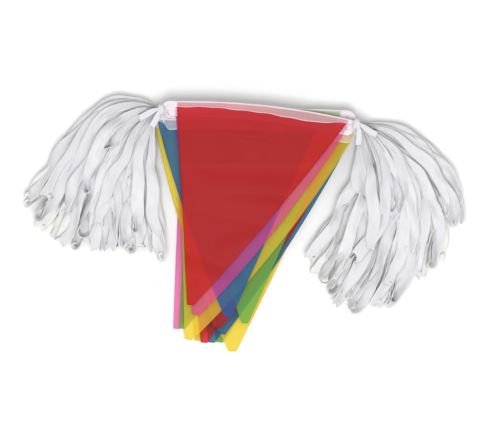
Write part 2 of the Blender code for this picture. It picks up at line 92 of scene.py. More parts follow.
Ripple = namedtuple("Ripple", "start end half_width height")
RIPPLES = (
    Ripple((-62, 38), (30, 20), 24, 3.0),
    Ripple((-20, -30), (60, -2), 20, 2.0),
    Ripple((-66, -52), (-10, -72), 20, 2.5),
)
# Fine pressed creases in the uppermost cloth only
CREASES = (
    Ripple((-22, 104), (14, 101), 3.5, 0.5),
    Ripple((-12, 98), (28, 92), 3.0, 0.4),
    Ripple((-58, 22), (70, -4), 5.0, 0.45),
    Ripple((-50, 62), (-14, 70), 4.0, 0.35),
)

Bunch = namedtuple("Bunch", "name side neck fan root end bend reach")
BUNCHES = (
    Bunch("left", -1, (-94.0, 130.5), (-98.0, 130.0), (128, 250), (213, 272), 2.0,
          (184, 194, 185, 172, 165)),
    Bunch("right", 1, (129.0, 114.0), (133.0, 114.0), (12, -84), (-58, -116), 1.1,
          (156, 188, 222, 208, 178)),
)
SHELLS = 3
LOOPS = 8
RIBBON = 15.0
RIBBON_FILL = 0.82
ROOT_LEVEL = 6.0
ROOT_SHELL_RISE = 7.5
ROOT_LOOP_RISE = 3.0
SPREAD_FROM = 10.0
SPREAD_OVER = 48.0
SHORTER = (0.0, 0.13, 0.04, 0.2, 0.07, 0.16, 0.02, 0.1)
WAIST_HALF_WIDTH = 5.6
WAIST_BOTTOM = 5.0
WAIST_TOP = 28.5
ROOT_REACH = 7.0  # the gathered root reaches this far from its middle to the pennants
GATHER_FROM = 9.0  # the tape is drawn together from this far before the tie
GATHER_OVER = 9.0  # and wholly after this length

# -------- sizes of the looks alone

SHEET = 0.45  # thickness of the cloth as it shows
TAPE_SHEET = 0.35
FINE = 1.8  # mesh spacing of the upper pennants
COARSE = 3.2  # and of those beneath
FINE_COUNT = 5
CELL_WIDTH = 1.4  # width of a pennant's mesh cells, as a share of their length
SWELL_FADE = 0.35  # the bow of a top edge dies away over this share of the pennant's length
FLUTTER = 0.13
FLUTTER_FROM = 14.0  # the cloth lies still this far below its top edge
FLUTTER_OVER = 20.0
FRONT_TAPER = 42.0  # the front pennant's tape narrows over this length to its right corner
FRONT_NARROWED = 0.68  # by this share of its width
TAPE_STEP = 2.4  # mesh spacing along a tape
RUN_ON_STEP = 3.0  # spacing where a tape runs on from its pennant to a tie
DRAWN_NARROWER = 0.62  # share of its width that a tape loses inside a tie
DRAWN_FLATTER = 0.4  # and share of its thickness
LEAF_HALF = 0.5  # half the height between the two leaves of a folded tape
FLOOR_CLEARANCE = 0.05
SEAM = 0.56  # where the seam runs, as a share of the width from the free edge
SEAM_HALF = 0.04
SEAM_DIP = 0.16
STITCH_LENGTH = 2.9
STITCH_PITCH = 3.5
STITCH_RADIUS = 0.28
STITCH_SIDES = 5
STITCH_MARGIN = 2.0  # the stitches stop this far inside a pennant's corners
STITCH_PLACES = np.array((0.0, 0.25, 0.75, 1.0))
STITCH_RISE = np.array((-0.1, 0.16, 0.16, -0.1))
STITCH_TAPER = (0.4, 1.0, 1.0, 0.4)

# What each cloth reflects and how much it lets show of what lies beneath, in linear colour
Dye = namedtuple("Dye", "own through")
DYES = {
    "red": Dye((0.248, 0.009, 0.0005), (0.345, 0.02, 0.060)),
    "pink": Dye((0.30, 0.028, 0.135), (0.50, 0.18, 0.30)),
    "blue": Dye((0.010, 0.060, 0.195), (0.05, 0.12, 0.09)),
    "yellow": Dye((0.36, 0.26, 0.020), (0.42, 0.34, 0.04)),
    "green": Dye((0.080, 0.25, 0.040), (0.13, 0.18, 0.05)),
}
WHITE_TAPE = Dye((0.28, 0.26, 0.27), (0.58, 0.54, 0.56))
SELVEDGE = (0.80, 0.78, 0.78)
SELVEDGE_SHARES = (0.65, 0.35)  # how white the outermost points of a tape are
SEAM_SHADE = 0.80
BEHIND_TAPE = np.array((0.86, 0.86, 0.88))  # what shows through a tape clear of its cloth
THREAD = (0.62, 0.58, 0.60)
GROUND = (0.9, 0.9, 0.9)
CLOTH_BLUR = 0.9  # half the width over which an edge that shows through fades
TAPE_BLUR = 0.6
SHADE = 0.13  # painted shade: light taken out of a pennant's colour beside the edge of one that lies on it
SHADE_REACH = 3.5  # and how far that shade reaches
# Ribbon colours with painted light: low parts lighter and warmer, as light through stacked tape,
# high parts darker and cooler
RIBBON_LIT = (0.70, 0.70, 0.72)
RIBBON_DEEP_PAINTED_LIGHT = (0.84, 0.84, 0.79)
UP = np.array((0.0, 0.0, 1.0))

# thread is the pitch of the threads in millimetres, tone how far their colour varies
Weave = namedtuple("Weave", "thread tone relief roughness sheen")
NYLON = Weave(0.5, 0.07, 0.25, 0.62, 0.04)
WOVEN_TAPE = Weave(0.7, 0.05, 0.5, 0.78, 0.1)
SEWING_THREAD = Weave(0.3, 0.03, 0.3, 0.7, 0.0)


# -------- outlines seen from above

def smooth(value):
    """Smooth step from 0 to 1."""
    value = np.clip(value, 0.0, 1.0)
    return value * value * (3.0 - 2.0 * value)


def bowed(start, end, bow, shares):
    """Points at some shares of an edge that swells outwards, walked with the cloth on its left."""
    start = np.array(start, float)
    chord = np.array(end, float) - start
    side = np.array((chord[1], -chord[0])) / np.linalg.norm(chord)
    shares = np.asarray(shares, float)[..., None]
    return start + chord * shares + side * (4.0 * bow * shares * (1.0 - shares))


def unit(vectors):
    """The same vectors with a length of one."""
    return vectors / np.maximum(np.linalg.norm(vectors, axis=-1, keepdims=True), 1e-6)


def running_length(line):
    """Length of a line up to each of its points."""
    return np.concatenate(([0.0], np.cumsum(np.linalg.norm(np.diff(line, axis=0), axis=1))))


def cut_tip(row):
    """Left and right end of the short edge where a pennant's tip is cut off."""
    return np.array((bowed(row.left, row.tip, row.left_bow, TIP_CUT),
                     bowed(row.tip, row.right, row.right_bow, 1.0 - TIP_CUT)))


def outline_steps(row):
    """Starts and outward normals of the straight steps of a pennant's outline."""
    sides = np.linspace(0.0, 1.0, SIDE_STEPS + 1)
    tops = np.linspace(0.0, 1.0, TOP_STEPS + 1)
    starts = []
    normals = []
    for edge in (bowed(row.left, row.tip, row.left_bow, sides),
                 cut_tip(row),
                 bowed(row.tip, row.right, row.right_bow, sides),
                 bowed(row.right, row.left, row.top_bow, tops)):
        along = unit(np.diff(edge, axis=0))
        starts.append(edge[:-1])
        normals.append(np.stack((along[:, 1], -along[:, 0]), axis=1))
    return np.concatenate(starts), np.concatenate(normals)


OUTLINES = [outline_steps(row) for row in PENNANTS]


def distance_outside(index, places):
    """How far places lie outside a pennant, negative inside."""
    starts, normals = OUTLINES[index]
    distances = [(places - start) @ normal for start, normal in zip(starts, normals)]
    return np.max(distances, axis=0)


def tape_width_at(row, x):
    """Width of the folded tape along a pennant's top edge."""
    share = smooth((row.right[0] - x) / (row.right[0] - row.left[0]))
    width = TAPE_WIDTH + (row.tape_left - TAPE_WIDTH) * share
    if row == PENNANTS[0]:
        width = width * (1.0 - FRONT_NARROWED * smooth((x - row.right[0]) / FRONT_TAPER + 1.0))
    return width


def inside_share(index, places, blur):
    """1 inside a pennant and 0 outside, fading across its edge."""
    return smooth((blur - distance_outside(index, places)) / (2.0 * blur))


def distance_below_top(row, places):
    """Distance of places below a pennant's top edge."""
    share = np.clip((row.right[0] - places[..., 0]) / (row.right[0] - row.left[0]), 0.0, 1.0)
    top = bowed(row.right, row.left, row.top_bow, share)
    return top[..., 1] - places[..., 1]


# -------- heights in the pile

def pitch(y):
    """Height from one pennant to the next."""
    return TAPE_PITCH + (CLOTH_PITCH - TAPE_PITCH) * smooth((TAPE_ZONE - y) / EASE_LENGTH)


def cover(index, places):
    """Share of its thickness with which a pennant lifts those above it."""
    near = 1.0 - smooth((distance_outside(index, places) - COVER) / COVER_EASE)
    along_tape = smooth((places[..., 1] - (TAPE_ZONE - TAPE_EASE)) / TAPE_EASE)
    return near + (1.0 - near) * along_tape


def ridges(rows, places):
    """Summed height of soft ridges."""
    height = np.zeros(places.shape[:-1])
    for row in rows:
        start = np.array(row.start, float)
        along = np.array(row.end, float) - start
        t = np.clip((places - start) @ along / (along @ along), 0.0, 1.0)
        away = np.linalg.norm(places - start - t[..., None] * along, axis=-1)
        height += row.height * (1.0 - smooth(away / row.half_width))
    return height


def cloth_middle(index, places):
    """Middle height of a pennant's cloth."""
    beneath = sum(cover(lower, places) for lower in range(index + 1, COUNT))
    share = (COUNT - 1 - index) / (COUNT - 1)
    step = pitch(places[..., 1])
    height = step * beneath + share * ridges(RIPPLES, places) + (step - CLOTH_PITCH) / 2.0
    return height + CLOTH / 2.0


def tape_middle(index):
    """Middle height of a binding."""
    return TAPE_PITCH * (COUNT - 1 - index) + BINDING / 2.0


def gathered_share(x):
    """How far a place is drawn into a tie: 0 along the pennants, 1 at the tie."""
    left_bunch, right_bunch = BUNCHES
    to_right = smooth((x - right_bunch.neck[0] + GATHER_FROM) / GATHER_OVER)
    to_left = smooth((left_bunch.neck[0] + GATHER_FROM - x) / GATHER_OVER)
    return np.maximum(to_right, to_left)


def gathered_height(height, share):
    """Height of cloth or tape that is drawn into a tie with the whole pile."""
    pile = TAPE_PITCH * COUNT
    waist = (WAIST_BOTTOM + WAIST_TOP) / 2.0
    at_tie = waist + (height - pile / 2.0) * (WAIST_TOP - WAIST_BOTTOM) / pile
    return height + (at_tie - height) * share


# -------- colour of thin cloth in a pile

def laid_over(surface_colour, beneath, inside):
    """Colour after one more thin layer is laid over part of the places."""
    layered = np.array(surface_colour.own) + np.array(surface_colour.through) * beneath
    return beneath + (layered - beneath) * inside[..., None]


def add_layer(index, places, colour):
    """One pennant and its tape laid over the colour seen so far."""
    row = PENNANTS[index]
    colour = laid_over(DYES[row.colour], colour, inside_share(index, places, CLOTH_BLUR))
    below = distance_below_top(row, places)
    width = tape_width_at(row, places[..., 0])
    along = (places[..., 0] > row.left[0]) & (places[..., 0] < row.right[0])
    band = smooth(below + TAPE_FOLD) * smooth(width - below) * along
    return laid_over(WHITE_TAPE, colour, band)


def laid_in_order(layers, places):
    """Colour of some pennants laid over plain ground one after another."""
    colour = np.broadcast_to(np.array(GROUND), places.shape[:-1] + (3,)).copy()
    for layer in layers:
        colour = add_layer(layer, places, colour)
    return colour


def cloth_colours(index, places):
    """A pennant's colour from above and from below, with what shows through it."""
    surface_colour = DYES[PENNANTS[index].colour]
    own = np.array(surface_colour.own)
    through = np.array(surface_colour.through)
    above = own + through * laid_in_order(range(COUNT - 1, index, -1), places)
    below = own + through * laid_in_order(range(index), places)
    return above, below


def edge_shade(index, places):
    """Painted shade: share of light left in a pennant's colour beside the edges of those that lie
    on it.
    """
    light = np.ones(places.shape[:-1])
    for upper in range(index):
        away = np.maximum(distance_outside(upper, places), 0.0)
        light *= 1.0 - SHADE * np.exp(-away / SHADE_REACH)
    return light[..., None]


# -------- materials

WAVE_SCALE = 0.31  # a wave texture of this scale has bands one millimetre apart
STREAK_SCALE = 0.9
STREAK_STRETCH = 0.03
BLOTCH_SCALE = 0.035
CROSSING_TONE = 0.08  # how far the crossings of the threads and the blotches change the colour
BLOTCH_TONE = 0.10
BLOTCH_BASE = 0.93
ROUGH_SPREAD = 0.12
THREAD_HEIGHT = 0.0001  # in metres


def node_group(material):
    """Nodes, links and the Principled shader of a new material."""
    material.use_nodes = True
    nodes = material.node_tree.nodes
    return nodes, material.node_tree.links, nodes["Principled BSDF"]


def math_node(nodes, links, operation, *values):
    """Result of a math node; each value is a socket or a number."""
    node = nodes.new("ShaderNodeMath")
    node.operation = operation
    for socket, value in zip(node.inputs, values):
        if isinstance(value, bpy.types.NodeSocket):
            links.new(value, socket)
        else:
            socket.default_value = value
    return node.outputs[0]


def new_node(nodes, kind, inputs):
    """A node with some of its inputs set."""
    node = nodes.new(kind)
    for name, value in inputs.items():
        node.inputs[name].default_value = value
    return node


def thread_bands(nodes, links, source, axis, scale):
    """Fine bands across one axis of the cloth laid flat."""
    wave = new_node(nodes, "ShaderNodeTexWave", {"Scale": scale, "Distortion": 0.6,
                                                 "Detail": 1.0, "Detail Scale": 0.3})
    wave.bands_direction = axis
    wave.wave_profile = "SIN"
    links.new(source, wave.inputs["Vector"])
    return wave.outputs["Fac"]


def streaks(nodes, links, source, stretch, scale):
    """Uneven threads: noise drawn out along one axis."""
    mapping = new_node(nodes, "ShaderNodeMapping", {"Scale": stretch})
    links.new(source, mapping.inputs["Vector"])
    noise = new_node(nodes, "ShaderNodeTexNoise",
                     {"Scale": scale, "Detail": 3.0, "Roughness": 0.6})
    links.new(mapping.outputs[0], noise.inputs["Vector"])
    return noise.outputs["Fac"]


def woven(name, weave):
    """Woven cloth: its colour, with painted shade and light, is stored in the mesh, its threads
    follow the cloth laid flat.
    """
    material = bpy.data.materials.new(name)
    nodes, links, shader = node_group(material)
    surface_colour = nodes.new("ShaderNodeAttribute")
    surface_colour.attribute_name = "surface_colour"
    laid = nodes.new("ShaderNodeAttribute")
    laid.attribute_name = "laid_flat"
    place = laid.outputs["Vector"]
    scale = WAVE_SCALE / weave.thread
    warp = thread_bands(nodes, links, place, "X", scale)
    weft = thread_bands(nodes, links, place, "Y", scale)
    crossings = math_node(nodes, links, "MULTIPLY", warp, weft)
    uneven_warp = streaks(nodes, links, place, (1.0, STREAK_STRETCH, 1.0), STREAK_SCALE)
    uneven_weft = streaks(nodes, links, place, (STREAK_STRETCH, 1.0, 1.0), STREAK_SCALE)
    uneven = math_node(nodes, links, "ADD", uneven_warp, uneven_weft)
    blotch = streaks(nodes, links, place, (1.0, 1.0, 1.0), BLOTCH_SCALE)
    tone = math_node(nodes, links, "MULTIPLY_ADD", uneven, weave.tone, 1.0 - weave.tone)
    weave_tone = math_node(nodes, links, "MULTIPLY_ADD", crossings, CROSSING_TONE, tone)
    blotch_tone = math_node(nodes, links, "MULTIPLY_ADD", blotch, BLOTCH_TONE, BLOTCH_BASE)
    whole = math_node(nodes, links, "MULTIPLY", weave_tone, blotch_tone)
    colour = nodes.new("ShaderNodeVectorMath")
    colour.operation = "SCALE"
    links.new(surface_colour.outputs["Color"], colour.inputs[0])
    links.new(whole, colour.inputs["Scale"])
    links.new(colour.outputs[0], shader.inputs["Base Color"])
    rough = math_node(nodes, links, "MULTIPLY_ADD", uneven, ROUGH_SPREAD,
                      weave.roughness - ROUGH_SPREAD)
    links.new(rough, shader.inputs["Roughness"])
    shader.inputs["Specular IOR Level"].default_value = 0.2
    shader.inputs["Sheen Weight"].default_value = weave.sheen
    shader.inputs["Sheen Roughness"].default_value = 0.4
    bump_height = math_node(nodes, links, "MULTIPLY_ADD", uneven, 0.5, crossings)
    bump = new_node(nodes, "ShaderNodeBump",
                    {"Strength": weave.relief, "Distance": THREAD_HEIGHT})
    links.new(bump_height, bump.inputs["Height"])
    links.new(bump.outputs["Normal"], shader.inputs["Normal"])
    return material


def floor_material():
    """Plain pale floor."""
    material = bpy.data.materials.new("pale_floor")
    nodes, links, shader = node_group(material)
    noise = new_node(nodes, "ShaderNodeTexNoise", {"Scale": 3.0})
    ramp = nodes.new("ShaderNodeValToRGB")
    ramp.color_ramp.elements[0].color = (0.90, 0.90, 0.90, 1.0)
    ramp.color_ramp.elements[1].color = (0.92, 0.92, 0.92, 1.0)
    links.new(noise.outputs["Fac"], ramp.inputs["Fac"])
    links.new(ramp.outputs["Color"], shader.inputs["Base Color"])
    shader.inputs["Roughness"].default_value = 0.9
    return material


# -------- meshes from grids of points

def grid_normals(points):
    """Unit normals of a grid of points."""
    normals = np.cross(np.gradient(points, axis=0), np.gradient(points, axis=1))
    return normals / np.maximum(np.linalg.norm(normals, axis=-1, keepdims=True), 1e-9)


def grid_faces(rows, columns):
    """Corner numbers of a grid's quads."""
    i, j = np.meshgrid(np.arange(rows - 1), np.arange(columns - 1), indexing="ij")
    first = i * columns + j
    quads = np.stack((first, first + columns, first + columns + 1, first + 1), axis=-1)
    return quads.reshape(-1, 4)


def rim_loop(rows, columns):
    """Corner numbers round the edge of a grid, in the sense of its quads' edges."""
    grid = np.arange(rows * columns).reshape(rows, columns)
    return np.concatenate((grid[0], grid[1:, -1], grid[-1, -2::-1], grid[-2:0:-1, 0]))


def new_object(name, data):
    """An object in the scene."""
    obj = bpy.data.objects.new(name, data)
    bpy.context.scene.collection.objects.link(obj)
    return obj


def finish_mesh(mesh, material, smooth_faces, surface_colours, flats):
    """Gives a mesh its shading, its colour with any painted light and shade, and its places in the
    cloth laid flat.
    """
    mesh.polygons.foreach_set("use_smooth", smooth_faces)
    surface_colour = mesh.attributes.new("surface_colour", "FLOAT_COLOR", "POINT")
    surface_colour.data.foreach_set("color", np.column_stack((surface_colours, np.ones(len(surface_colours)))).ravel())
    flat = mesh.attributes.new("laid_flat", "FLOAT_VECTOR", "POINT")
    flat.data.foreach_set("vector", flats.ravel())
    mesh.update()
    mesh.materials.append(material)


class Sheets:
    """Collects thin closed sheets, each from a grid of its middle points, for one mesh."""

    def __init__(self):
        self.points = []
        self.faces = []
        self.smooth = []
        self.surface_colours = []
        self.flats = []
        self.count = 0

    def add(self, points, thickness, colour_above, colour_below, flat):
        """points is rows x columns x 3; flat holds each point's place in the cloth laid flat."""
        rows, columns = points.shape[:2]
        half = grid_normals(points) * (thickness / 2.0)
        size = rows * columns
        quads = grid_faces(rows, columns)
        rim = rim_loop(rows, columns)
        following = np.roll(rim, -1)
        walls = np.stack((rim, following, following + size, rim + size), axis=-1)
        faces = np.concatenate((quads, quads[:, ::-1] + size, walls))
        self.points.append(np.concatenate(((points + half).reshape(-1, 3),
                                           (points - half).reshape(-1, 3))))
        self.faces.append(faces + self.count)
        self.smooth.append(np.repeat((True, False), (2 * len(quads), len(walls))))
        for surface_colour in (colour_above, colour_below):
            self.surface_colours.append(np.broadcast_to(surface_colour, (rows, columns, 3)).reshape(-1, 3))
            self.flats.append(np.broadcast_to(flat, (rows, columns, 2)).reshape(-1, 2))
        self.count += 2 * size

    def make(self, name, material, shift):
        """One object of all the sheets, moved to the frame's middle."""
        mesh = bpy.data.meshes.new(name)
        points = (np.concatenate(self.points) + shift) * MM
        mesh.from_pydata(points.tolist(), [], np.concatenate(self.faces).tolist())
        flats = np.concatenate(self.flats)
        flats = np.column_stack((flats, np.zeros(len(flats))))
        finish_mesh(mesh, material, np.concatenate(self.smooth), np.concatenate(self.surface_colours), flats)
        return new_object(name, mesh)


# -------- pennants

def pennant_places(row, spacing):
    """Places of a pennant's cloth seen from above, in rows from its top edge to its tip."""
    length = np.linalg.norm(np.subtract(row.tip, row.left))
    width = np.linalg.norm(np.subtract(row.right, row.left))
    down = np.linspace(0.0, TIP_CUT, int(length / spacing) + 1)
    across = np.linspace(0.0, 1.0, int(width / spacing / CELL_WIDTH) + 1)
    left = bowed(row.left, row.tip, row.left_bow, down)
    right = bowed(row.tip, row.right, row.right_bow, 1.0 - down)
    places = left[:, None] + (right - left)[:, None] * across[None, :, None]
    chord = np.subtract(row.left, row.right).astype(float)
    side = np.array((chord[1], -chord[0])) / np.linalg.norm(chord)
    swell = 4.0 * row.top_bow * across * (1.0 - across)
    fade = 1.0 - smooth(down / SWELL_FADE)
    return places + fade[:, None, None] * swell[None, :, None] * side


def flutter(index, places):
    """Slight unevenness of thin cloth, small enough to keep the sheets apart."""
    x = places[..., 0]
    y = places[..., 1]
    turn = 2.0 * math.pi
    height = np.sin(turn * (x / 61.0 + y / 97.0 + index * 0.37))
    height += 0.6 * np.sin(turn * (x / 33.0 - y / 45.0 + index * 0.61))
    below = distance_below_top(PENNANTS[index], places)
    return FLUTTER * height * smooth((below - FLUTTER_FROM) / FLUTTER_OVER)


def make_pennant(index, material, shift):
    """One pennant of thin cloth."""
    row = PENNANTS[index]
    places = pennant_places(row, FINE if index < FINE_COUNT else COARSE)
    height = cloth_middle(index, places) + flutter(index, places)
    height = gathered_height(height, gathered_share(places[..., 0]))
    if index == 0:
        height = height + ridges(CREASES, places)
    above, below = cloth_colours(index, places)
    # painted shade beside the edges of the pennants that lie on this one
    above = above * edge_shade(index, places)
    sheets = Sheets()
    points = np.concatenate((places, height[..., None]), axis=-1)
    sheets.add(points, SHEET, above, below, places)
    return sheets.make(f"pennant_cloth_{index + 1:02d}", material, shift)


# -------- tape over the top edges

def root_face(bunch):
    """X where the gathered root begins."""
    return bunch.neck[0] - bunch.side * (ROOT_REACH + GAP)


def tape_route(row):
    """Line of a pennant's top edge, run on to the ties, from right to left."""
    left_bunch, right_bunch = BUNCHES
    edge = bowed(row.right, row.left, row.top_bow, np.linspace(0.0, 1.0, 61))
    slope = (edge[0] - edge[-1]) / (edge[0] - edge[-1])[0]
    points = list(edge)
    if edge[0][0] < root_face(right_bunch):
        gap = root_face(right_bunch) - edge[0][0]
        steps = np.linspace(1.0, 0.0, max(int(gap / RUN_ON_STEP), 2) + 1)[:-1]
        points = [edge[0] + slope * gap * step for step in steps] + points
    if edge[-1][0] > root_face(left_bunch):
        gap = edge[-1][0] - root_face(left_bunch)
        steps = np.linspace(0.0, 1.0, max(int(gap / RUN_ON_STEP), 2) + 1)[1:]
        points = points + [edge[-1] - slope * gap * step for step in steps]
    return np.array([right_bunch.neck] + points + [left_bunch.neck])


def points_along(line, lengths, places):
    """Points at some running lengths of a line."""
    return np.stack([np.interp(places, lengths, axis) for axis in line.T], axis=1)


def resampled(line, spacing):
    """Points at equal steps along a line, with its corners a little rounded."""
    lengths = running_length(line)
    count = int(lengths[-1] / spacing) + 1
    places = np.linspace(0.0, lengths[-1], count)
    even = points_along(line, lengths, places)
    for _ in range(3):
        even[1:-1] = (even[:-2] + 2.0 * even[1:-1] + even[2:]) / 4.0
    return even, places


# Places of the points of one leaf from its selvedge on, as shares of its width from the fold
SEAM_SHARE = 1.0 - SEAM
LEAF = (1.0, 0.93, 0.85, 0.64, SEAM_SHARE + SEAM_HALF, SEAM_SHARE, SEAM_SHARE - SEAM_HALF,
        0.28, 0.12, 0.0)
SEAM_POINT = LEAF.index(SEAM_SHARE)
FOLD_ANGLES = (-1.05, -0.52, 0.0, 0.52, 1.05)


def fold_section(width):
    """Folded tape across its length: distances below the edge and heights, over the fold."""
    dips = [SEAM_DIP if place == SEAM_POINT else 0.0 for place in range(len(LEAF))]
    lower = [(width * share, dip - LEAF_HALF) for share, dip in zip(LEAF, dips)]
    turn = [(-TAPE_FOLD * 0.8 * math.cos(angle), LEAF_HALF * math.sin(angle))
            for angle in FOLD_ANGLES]
    upper = [(below, -height) for below, height in lower[::-1]]
    return np.array(lower + turn + upper)


def tape_points(index):
    """Middle points of a binding's folded tape, and where each lies in the tape laid flat."""
    row = PENNANTS[index]
    line, lengths = resampled(tape_route(row), TAPE_STEP)
    course = unit(np.gradient(line, axis=0))
    down = np.stack((-course[:, 1], course[:, 0]), axis=1)
    points = []
    flats = []
    for place, ahead, length, share in zip(line, down, lengths, gathered_share(line[:, 0])):
        width = tape_width_at(row, np.clip(place[0], row.left[0], row.right[0]))
        width += 0.35 * math.sin(length / 4.3 + index) + 0.3 * math.sin(length / 9.7)
        width *= 1.0 - DRAWN_NARROWER * share
        section = fold_section(width)
        middle = gathered_height(tape_middle(index), share)
        middle += 0.10 * math.sin(length / 7.0 + index * 1.7)
        bulge = np.sin(math.pi * np.linspace(0, 1, len(section)))
        heights = middle + section[:, 1] * (1.0 - DRAWN_FLATTER * share)
        heights += 0.22 * math.sin(length / 5.1 + index) * bulge
        places = place + ahead * (section[:, :1] - width * 0.5 * share)
        points.append(np.column_stack((places, heights)))
        flats.append(np.column_stack((np.full(len(section), length), running_length(section))))
    return np.array(points), np.array(flats)


def tape_over(cloth, inside):
    """Colour of tape over its pennant's cloth, and over nothing where it is clear of it."""
    behind = BEHIND_TAPE + (cloth - BEHIND_TAPE) * inside[..., None]
    return np.array(WHITE_TAPE.own) + np.array(WHITE_TAPE.through) * behind


def make_tape(index, material, shift):
    """The tape folded over one pennant's top edge, and its middle points."""
    points, flats = tape_points(index)
    places = points[..., :2]
    inside = inside_share(index, places, TAPE_BLUR)
    above, below = (tape_over(cloth, inside) for cloth in cloth_colours(index, places))
    upper = points.shape[1] // 2
    surface_colours = np.concatenate((below[:, :upper], above[:, upper:]), axis=1)
    for leaf in (surface_colours, surface_colours[:, ::-1]):
        leaf[:, SEAM_POINT] *= SEAM_SHADE
        for place, share in enumerate(SELVEDGE_SHARES):
            leaf[:, place] += (np.array(SELVEDGE) - leaf[:, place]) * share
    sheets = Sheets()
    sheets.add(points, TAPE_SHEET, surface_colours, surface_colours, flats)
    return sheets.make(f"binding_tape_{index + 1:02d}", material, shift), points


def add_stitch(points, faces, line):
    """One stitch: a short closed tube round a line of points, thinner at its ends."""
    along = line[-1] - line[0]
    along /= np.linalg.norm(along)
    side = np.array((-along[1], along[0], 0.0))
    base = len(points)
    for spot, taper in zip(line, STITCH_TAPER):
        for turn in range(STITCH_SIDES):
            angle = 2.0 * math.pi * turn / STITCH_SIDES
            points.append(spot + (side * math.cos(angle) + UP * math.sin(angle))
                          * STITCH_RADIUS * taper)
    last = base + STITCH_SIDES * (len(line) - 1)
    for ring in range(base, last, STITCH_SIDES):
        for turn in range(STITCH_SIDES):
            after = (turn + 1) % STITCH_SIDES
            faces.append((ring + turn, ring + after,
                          ring + STITCH_SIDES + after, ring + STITCH_SIDES + turn))
    faces.append(tuple(range(base + STITCH_SIDES - 1, base - 1, -1)))
    faces.append(tuple(range(last, last + STITCH_SIDES)))


def make_stitches(tapes, shift, material):
    """Lockstitches along both faces of every binding."""
    points = []
    faces = []
    for row, tape in zip(PENNANTS, tapes):
        for edge, rise in ((tape[:, -1 - SEAM_POINT], 1.0), (tape[:, SEAM_POINT], -1.0)):
            seam = edge[(edge[:, 0] > row.left[0] + STITCH_MARGIN)
                        & (edge[:, 0] < row.right[0] - STITCH_MARGIN)]
            lengths = running_length(seam)
            for start in np.arange(0.5, lengths[-1] - STITCH_LENGTH, STITCH_PITCH):
                line = points_along(seam, lengths, start + STITCH_LENGTH * STITCH_PLACES)
                line[:, 2] += rise * (TAPE_SHEET / 2.0 + STITCH_RISE)
                line[:, 2] = np.maximum(line[:, 2], STITCH_RADIUS + FLOOR_CLEARANCE)
                add_stitch(points, faces, line)
    points = np.array(points)
    mesh = bpy.data.meshes.new("stitches")
    mesh.from_pydata(((points + shift) * MM).tolist(), [], faces)
    finish_mesh(mesh, material, np.ones(len(faces), bool),
                np.broadcast_to(THREAD, points.shape), points)
    return new_object("stitches", mesh)


# -------- bunches of loops

# out, tip and back are a loop's shares of the fan where it leaves the tie, turns and comes back,
# reach its share of the bunch's reach, opening the distance of its runs at the end, late how late
# it leaves its first heading, and twist its half turns on the way out.
Loop = namedtuple("Loop", "out tip back reach opening late twist")
# Loops of the uppermost shells, from the lowest to the highest
TOP_LOOPS = {
    "left": (
        (0.03, 0.02, 0.07, 0.97, 3.1, 1, 0),
        (0.28, 0.34, 0.40, 0.99, 4, 1, 0),
        (0.95, 0.86, 0.80, 0.93, 3.6, 1, 0),
        (0.10, 0.15, 0.24, 0.98, 7.7, 1, 0),
        (0.62, 0.56, 0.48, 0.96, 2.7, 1, 1),
        (0.72, 0.74, 0.66, 0.92, 5.4, 1, 0),
        (0.22, 0.10, 0.14, 0.86, 2.2, 1, 0),
        (0.42, 0.46, 0.52, 0.91, 13.5, 1, 0),
        (0.96, 1.00, 1.00, 1.02, 4, 1, 0),
        (0.55, 0.64, 0.70, 0.94, 5, 1, 0),
        (0.88, 0.82, 0.92, 0.83, 6.3, 1, 1),
        (0.16, 0.27, 0.34, 0.80, 3.6, 2, 0),
        (0.80, 0.56, 0.66, 0.80, 2.2, 4, 0),
        (0.46, 0.40, 0.30, 0.66, 5.4, 1, 1),
    ),
    "right": (
        (0.04, 0.04, 0.10, 0.92, 3.6, 1, 0),
        (0.35, 0.33, 0.28, 0.93, 3.1, 1, 0),
        (0.76, 0.72, 0.70, 0.99, 3.6, 1, 0),
        (1.04, 1.03, 0.98, 0.92, 4, 1, 1),
        (0.20, 0.25, 0.32, 0.97, 6.8, 1, 0),
        (0.30, 0.42, 0.40, 0.98, 5.9, 1, 1),
        (0.58, 0.51, 0.46, 0.93, 4.5, 1, 0),
        (0.12, 0.10, 0.17, 0.93, 5.4, 1, 0),
        (0.52, 0.61, 0.66, 0.99, 9.5, 1, 0),
        (0.80, 0.87, 0.94, 0.96, 11.2, 1, 0),
        (0.62, 0.50, 0.40, 0.84, 3.6, 2, 1),
        (0.40, 0.78, 0.62, 0.74, 2.2, 5, 0),
        (0.46, 0.43, 0.52, 0.73, 2.2, 1, 0),
        (1.02, 0.70, 0.88, 0.68, 2.7, 2, 1),
        (0.68, 0.64, 0.58, 0.50, 2, 1, 0),
    ),
}
STRAY_FROM = 15.0  # a run strays sideways from this distance on, and more and more
STRAY_EASE = 60.0
STRAY_PAST = 25.0  # it would stop this far beyond the loop's end
LOOP_SPACING = 3.0  # mesh spacing along a ribbon
RIBBON_CELLS = 8  # cells across it
FOLD_RISE = 5.0  # a run comes back this much above the one that went out
FOLD_REACH = 16.0  # a loop's end counts as its fold up to this far from its middle
FOLD_EASE = 10.0
LOW_LEVEL = 0.8  # heights of the loops of the two lower shells
LOW_STEP = 6.0
TOP_LEVEL = 12.5  # and of the uppermost shell, from its lowest loop
TOP_STEP = 0.8
TOP_ROOT_RISE = 18.0  # height over which the uppermost loops leave the tie
TOP_ROOT_SKIP = 4.0  # places in it that are left to the lower shells
TWIST_FROM = 0.22  # a twist begins at this share of a loop's length
TWIST_LENGTH = 38.0  # a half turn of the ribbon takes this long
FOLD_SLANT = 0.4  # how far, in radians, the folds at the loops' ends lie askew
FOLD_PINCH = 0.4  # and how far they are drawn together
ROOT_CHORD = 2.4  # width of the pleated ribbon at the tie
ROOT_PULL = 9.0  # the ribbon is drawn to the tie's middle from this far away
FREE_FROM = 8.0  # beyond this distance from the tie it crumples more and more
FREE_OVER = 45.0
